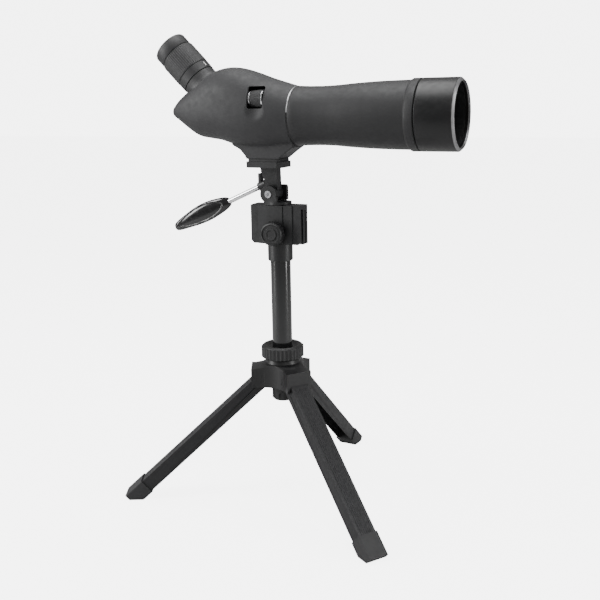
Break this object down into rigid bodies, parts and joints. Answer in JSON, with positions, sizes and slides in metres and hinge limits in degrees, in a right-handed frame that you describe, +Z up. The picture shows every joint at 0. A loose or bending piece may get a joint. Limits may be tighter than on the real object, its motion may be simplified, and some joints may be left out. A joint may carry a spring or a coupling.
{
  "type": "spotting scope",
  "caption": "Angled spotting scope with a zoom eyepiece and sliding sunshade, on a folding table-top tripod with a pan-and-tilt head and a clamp block.",
  "frame": {"origin": "the point on the ground under the column axis, at the centre of the circle that the three feet stand on", "axes": "+Z up along the column, +X the way the scope points, -Y the side with the focus roller and the clamp knob"},
  "size_m": [0.3853, 0.3125, 0.5393],
  "materials": {
    "armour": "matte rubber armour with a fine grain",
    "tube_armour": "matte rubber armour with a fine grain",
    "hood_metal": "satin black anodised, bright turned rim",
    "band_metal": "satin silver",
    "black_plastic": "fine moulded texture",
    "gloss_grip": "glossy moulded",
    "soft_rubber": "matte",
    "eyepiece_rubber": "satin ribbed",
    "column_paint": "gloss black",
    "leg_aluminium": "dark grey anodised, lengthwise grooves",
    "inner_aluminium": "black anodised",
    "steel": "machined",
    "chrome": "polished",
    "brass": "machined",
    "lens_glass": "coated",
    "prism_glass": "polished"
  },
  "bodies": {
    "tripod": {"hub": "black_plastic", "column_bushing": "black_plastic", "leg_pin_1": "steel", "leg_pin_2": "steel", "leg_pin_3": "steel"},
    "leg_1": {"leg_1": "leg_aluminium", "foot_1": "soft_rubber"},
    "leg_2": {"leg_2": "leg_aluminium", "foot_2": "soft_rubber"},
    "leg_3": {"leg_3": "leg_aluminium", "foot_3": "soft_rubber"},
    "collar": {"lock_collar": "black_plastic"},
    "column": {"column_tube": "column_paint", "column_end_plug": "black_plastic", "column_sleeve": "black_plastic", "clamp_body": "black_plastic", "clamp_body_pad": "soft_rubber", "clamp_nut": "brass", "pan_bolt": "steel"},
    "jaw": {"clamp_jaw": "black_plastic", "clamp_jaw_pad": "soft_rubber", "clamp_guide_pins": "steel"},
    "clamp_knob": {"clamp_screw": "steel", "clamp_knob": "black_plastic"},
    "pan_head": {"pan_base": "black_plastic", "tilt_bolt": "chrome", "tilt_nut": "steel"},
    "scope": {"platform": "black_plastic", "platform_pad": "soft_rubber", "camera_screw": "steel", "prism_housing": "armour", "mounting_foot": "inner_aluminium", "tripod_bushing": "brass", "seam_band": "band_metal", "objective_tube": "tube_armour", "front_barrel": "inner_aluminium", "objective_lens": "lens_glass", "lens_retainer": "inner_aluminium", "tube_baffles": "inner_aluminium", "prism_cage": "inner_aluminium", "front_prism": "prism_glass", "rear_prism": "prism_glass", "focus_bracket": "inner_aluminium", "eyepiece_neck": "black_plastic", "index_ring": "black_plastic", "eyepiece_barrel": "inner_aluminium", "eye_lens": "lens_glass"},
    "handle": {"handle_rod": "chrome", "handle_grip": "gloss_grip"},
    "sunshade": {"sunshade": "hood_metal"},
    "focus_roller": {"focus_roller": "eyepiece_rubber", "roller_rings": "chrome", "roller_shaft": "steel"},
    "focus_screw": {"lead_screw": "steel"},
    "focus_lens": {"focus_carriage": "inner_aluminium", "focusing_lens": "lens_glass"},
    "zoom_ring": {"zoom_ring": "eyepiece_rubber"},
    "zoom_lenses": {"zoom_lens_group": "lens_glass"},
    "eyecup_sleeve": {"eyecup_sleeve": "black_plastic"},
    "eyecup": {"eyecup": "eyepiece_rubber"}
  },
  "joints": [
    {"name": "leg_1_fold", "type": "hinge", "parent": "tripod", "child": "leg_1", "pos_m": [0.00201, 0.02392, 0.147], "axis": [-0.9965, 0.0837, 0], "range_deg": [0, 47.5]},
    {"name": "leg_2_fold", "type": "hinge", "parent": "tripod", "child": "leg_2", "pos_m": [-0.02172, -0.01022, 0.147], "axis": [0.4258, -0.9048, 0], "range_deg": [0, 47.5]},
    {"name": "leg_3_fold", "type": "hinge", "parent": "tripod", "child": "leg_3", "pos_m": [0.01971, -0.0137, 0.147], "axis": [0.5707, 0.8211, 0], "range_deg": [0, 47.5]},
    {"name": "collar_turn", "type": "hinge", "parent": "tripod", "child": "collar", "pos_m": [0, 0, 0.18], "axis": [0, 0, 1], "range_deg": [-90, 0]},
    {"name": "column_slide", "type": "slide", "parent": "tripod", "child": "column", "axis": [0, 0, 1], "range_m": [-0.09, 0]},
    {"name": "jaw_slide", "type": "slide", "parent": "column", "child": "jaw", "axis": [0, -1, 0], "range_m": [0, 0.008]},
    {"name": "clamp_turn", "type": "hinge", "parent": "jaw", "child": "clamp_knob", "pos_m": [0, -0.015, 0.32], "axis": [0, -1, 0], "range_deg": [0, 1440]},
    {"name": "pan", "type": "hinge", "parent": "column", "child": "pan_head", "pos_m": [0, 0, 0.351], "axis": [0, 0, 1], "continuous": true},
    {"name": "tilt", "type": "hinge", "parent": "pan_head", "child": "scope", "pos_m": [-0.0075, 0, 0.3628], "axis": [0, -1, 0], "range_deg": [-50, 15]},
    {"name": "handle_twist", "type": "hinge", "parent": "scope", "child": "handle", "pos_m": [-0.0249, 0, 0.3692], "axis": [-0.9135, 0, -0.4067], "range_deg": [-180, 0]},
    {"name": "sunshade_slide", "type": "slide", "parent": "scope", "child": "sunshade", "axis": [1, 0, 0], "range_m": [0, 0.03]},
    {"name": "focus_turn", "type": "hinge", "parent": "scope", "child": "focus_roller", "pos_m": [-0.01, -0.024, 0.466], "axis": [1, 0, 0], "range_deg": [-360, 360]},
    {"name": "focus_screw_turn", "type": "hinge", "parent": "scope", "child": "focus_screw", "pos_m": [-0.01, -0.0145, 0.45867], "axis": [1, 0, 0], "range_deg": [-361, 361]},
    {"name": "focus_lens_slide", "type": "slide", "parent": "scope", "child": "focus_lens", "axis": [1, 0, 0], "range_m": [-0.005, 0.005]},
    {"name": "zoom_turn", "type": "hinge", "parent": "scope", "child": "zoom_ring", "pos_m": [-0.11257, 0, 0.50407], "axis": [-0.7071, 0, 0.7071], "range_deg": [0, 100]},
    {"name": "zoom_lens_slide", "type": "slide", "parent": "scope", "child": "zoom_lenses", "axis": [-0.7071, 0, 0.7071], "range_m": [0, 0.012]},
    {"name": "eyecup_twist", "type": "hinge", "parent": "scope", "child": "eyecup_sleeve", "pos_m": [-0.12671, 0, 0.51821], "axis": [-0.7071, 0, 0.7071], "range_deg": [0, 120]},
    {"name": "eyecup_rise", "type": "slide", "parent": "eyecup_sleeve", "child": "eyecup", "axis": [-0.7071, 0, 0.7071], "range_m": [0, 0.006]}
  ],
  "couplings": [
    {"joint": "clamp_turn", "follows": "jaw_slide", "rad_per_m": 3141.5},
    {"joint": "focus_turn", "follows": "focus_lens_slide", "rad_per_m": 1256.6},
    {"joint": "focus_screw_turn", "follows": "focus_lens_slide", "rad_per_m": -1256.6},
    {"joint": "zoom_turn", "follows": "zoom_lens_slide", "rad_per_m": 145.44},
    {"joint": "eyecup_twist", "follows": "eyecup_rise", "rad_per_m": 349.06}
  ]
}
